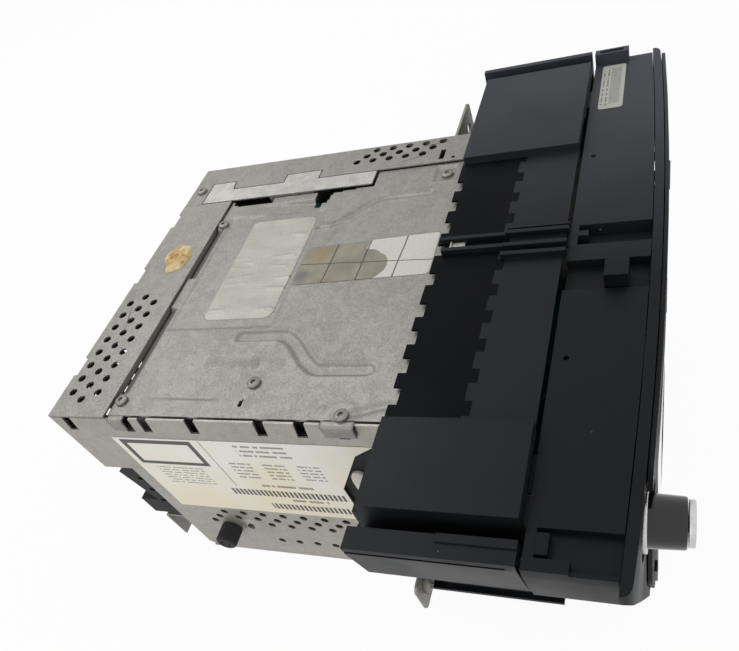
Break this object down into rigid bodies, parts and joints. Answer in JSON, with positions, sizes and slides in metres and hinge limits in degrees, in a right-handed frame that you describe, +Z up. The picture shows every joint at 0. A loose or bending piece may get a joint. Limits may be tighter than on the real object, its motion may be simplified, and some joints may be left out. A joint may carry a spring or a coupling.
{
  "type": "car navigation head unit",
  "caption": "Dashboard navigation and disc player unit: steel chassis with a disc mechanism behind a wide black plastic front with screen, disc slot, keys and a volume knob.",
  "frame": {"origin": "under the chassis floor, midway between the two sides of the fascia and between the knob's tip and the connector's latch", "axes": "+X to the right as seen from the front, -Y out of the screen towards the driver, +Z up"},
  "size_m": [0.287, 0.2705, 0.1271],
  "materials": {
    "galvanised": "galvanised sheet, satin with a fine speckle",
    "bright_steel": "plain bright steel",
    "black_plastic": "moulded, fine grain, slight sheen",
    "gloss_black": "polished black",
    "silver": "satin silver plating",
    "circuit_board": "green solder mask",
    "rubber": "matt",
    "paper": "matt, aged",
    "foil": "wrinkled foil",
    "aluminium": "extruded, satin",
    "white_plastic": "plain",
    "glass": "polished, dark behind",
    "felt": "felt",
    "sealant": "hard, glossy amber drop"
  },
  "bodies": {
    "body": {"aerial_socket": "silver", "amplifier_chip": "black_plastic", "chassis_tray": "galvanised", "cover_label": "paper", "display_panel": "bright_steel", "earth_clip": "bright_steel", "encoder": "bright_steel", "far_ear": "galvanised", "fascia_plate": "black_plastic", "foil_label": "foil", "front_bezel": "gloss_black", "front_board": "circuit_board", "front_frame": "black_plastic", "guide_bush": "rubber", "guide_rod_left": "silver", "guide_rod_right": "silver", "heat_sink": "aluminium", "knob_ring": "silver", "main_board": "circuit_board", "mechanism_cover": "galvanised", "mechanism_deck": "bright_steel", "mechanism_side_plate": "bright_steel", "near_ear": "galvanised", "near_ear_screw": "bright_steel", "paper_label": "paper", "rear_bracket": "galvanised", "rear_connector": "black_plastic", "rear_shroud": "black_plastic", "rear_top_strip": "galvanised", "rear_wall": "galvanised", "screen_glass": "glass", "sealant_dab": "sealant", "servo_board": "circuit_board", "side_guard": "black_plastic", "side_label": "paper", "side_stud": "white_plastic", "side_top_strip": "galvanised", "slot_felt": "felt", "spindle_motor": "aluminium", "top_screw_1": "bright_steel", "top_screw_2": "bright_steel", "top_screw_3": "bright_steel", "top_screw_4": "bright_steel", "top_screw_5": "bright_steel", "top_screw_6": "bright_steel"},
    "encoder_push": {"encoder_shaft": "silver"},
    "knob": {"volume_knob": "gloss_black", "knob_cap": "silver"},
    "turntable": {"turntable": "black_plastic"},
    "loading_roller": {"loading_roller": "rubber"},
    "laser_sled": {"laser_sled": "black_plastic"},
    "lead_screw": {"lead_screw": "silver"},
    "menu_key_1": {"menu_key_1": "gloss_black"},
    "menu_key_2": {"menu_key_2": "gloss_black"},
    "menu_key_3": {"menu_key_3": "gloss_black"},
    "menu_key_4": {"menu_key_4": "gloss_black"},
    "menu_key_5": {"menu_key_5": "gloss_black"},
    "preset_key_1": {"preset_key_1": "gloss_black"},
    "preset_key_2": {"preset_key_2": "gloss_black"},
    "eject_key": {"eject_key": "gloss_black"}
  },
  "joints": [
    {"name": "knob_push", "type": "slide", "parent": "body", "child": "encoder_push", "axis": [0, 1, 0], "range_m": [0, 0.0008], "stiffness_N_per_m": 250},
    {"name": "knob_turn", "type": "hinge", "parent": "encoder_push", "child": "knob", "pos_m": [-0.108, -0.125, 0.099], "axis": [0, -1, 0], "continuous": true},
    {"name": "turntable_spin", "type": "hinge", "parent": "body", "child": "turntable", "pos_m": [-0.016, 0.015, 0.095], "axis": [0, 0, 1], "continuous": true},
    {"name": "roller_turn", "type": "hinge", "parent": "body", "child": "loading_roller", "pos_m": [-0.0143, -0.058, 0.0994], "axis": [1, 0, 0], "continuous": true},
    {"name": "sled_slide", "type": "slide", "parent": "body", "child": "laser_sled", "axis": [0, 1, 0], "range_m": [0, 0.024]},
    {"name": "lead_screw_turn", "type": "hinge", "parent": "body", "child": "lead_screw", "pos_m": [0.0185, 0.059, 0.0915], "axis": [0, 1, 0], "range_deg": [-30, 2910]},
    {"name": "menu_key_1_press", "type": "slide", "parent": "body", "child": "menu_key_1", "axis": [0, 1, 0], "range_m": [0, 0.0008], "stiffness_N_per_m": 150},
    {"name": "menu_key_2_press", "type": "slide", "parent": "body", "child": "menu_key_2", "axis": [0, 1, 0], "range_m": [0, 0.0008], "stiffness_N_per_m": 150},
    {"name": "menu_key_3_press", "type": "slide", "parent": "body", "child": "menu_key_3", "axis": [0, 1, 0], "range_m": [0, 0.0008], "stiffness_N_per_m": 150},
    {"name": "menu_key_4_press", "type": "slide", "parent": "body", "child": "menu_key_4", "axis": [0, 1, 0], "range_m": [0, 0.0008], "stiffness_N_per_m": 150},
    {"name": "menu_key_5_press", "type": "slide", "parent": "body", "child": "menu_key_5", "axis": [0, 1, 0], "range_m": [0, 0.0008], "stiffness_N_per_m": 150},
    {"name": "preset_key_1_press", "type": "slide", "parent": "body", "child": "preset_key_1", "axis": [0, 1, 0], "range_m": [0, 0.0008], "stiffness_N_per_m": 150},
    {"name": "preset_key_2_press", "type": "slide", "parent": "body", "child": "preset_key_2", "axis": [0, 1, 0], "range_m": [0, 0.0008], "stiffness_N_per_m": 150},
    {"name": "eject_key_press", "type": "slide", "parent": "body", "child": "eject_key", "axis": [0, 1, 0], "range_m": [0, 0.0008], "stiffness_N_per_m": 150}
  ],
  "couplings": [
    {"joint": "lead_screw_turn", "follows": "sled_slide", "rad_per_m": 2094.4}
  ]
}
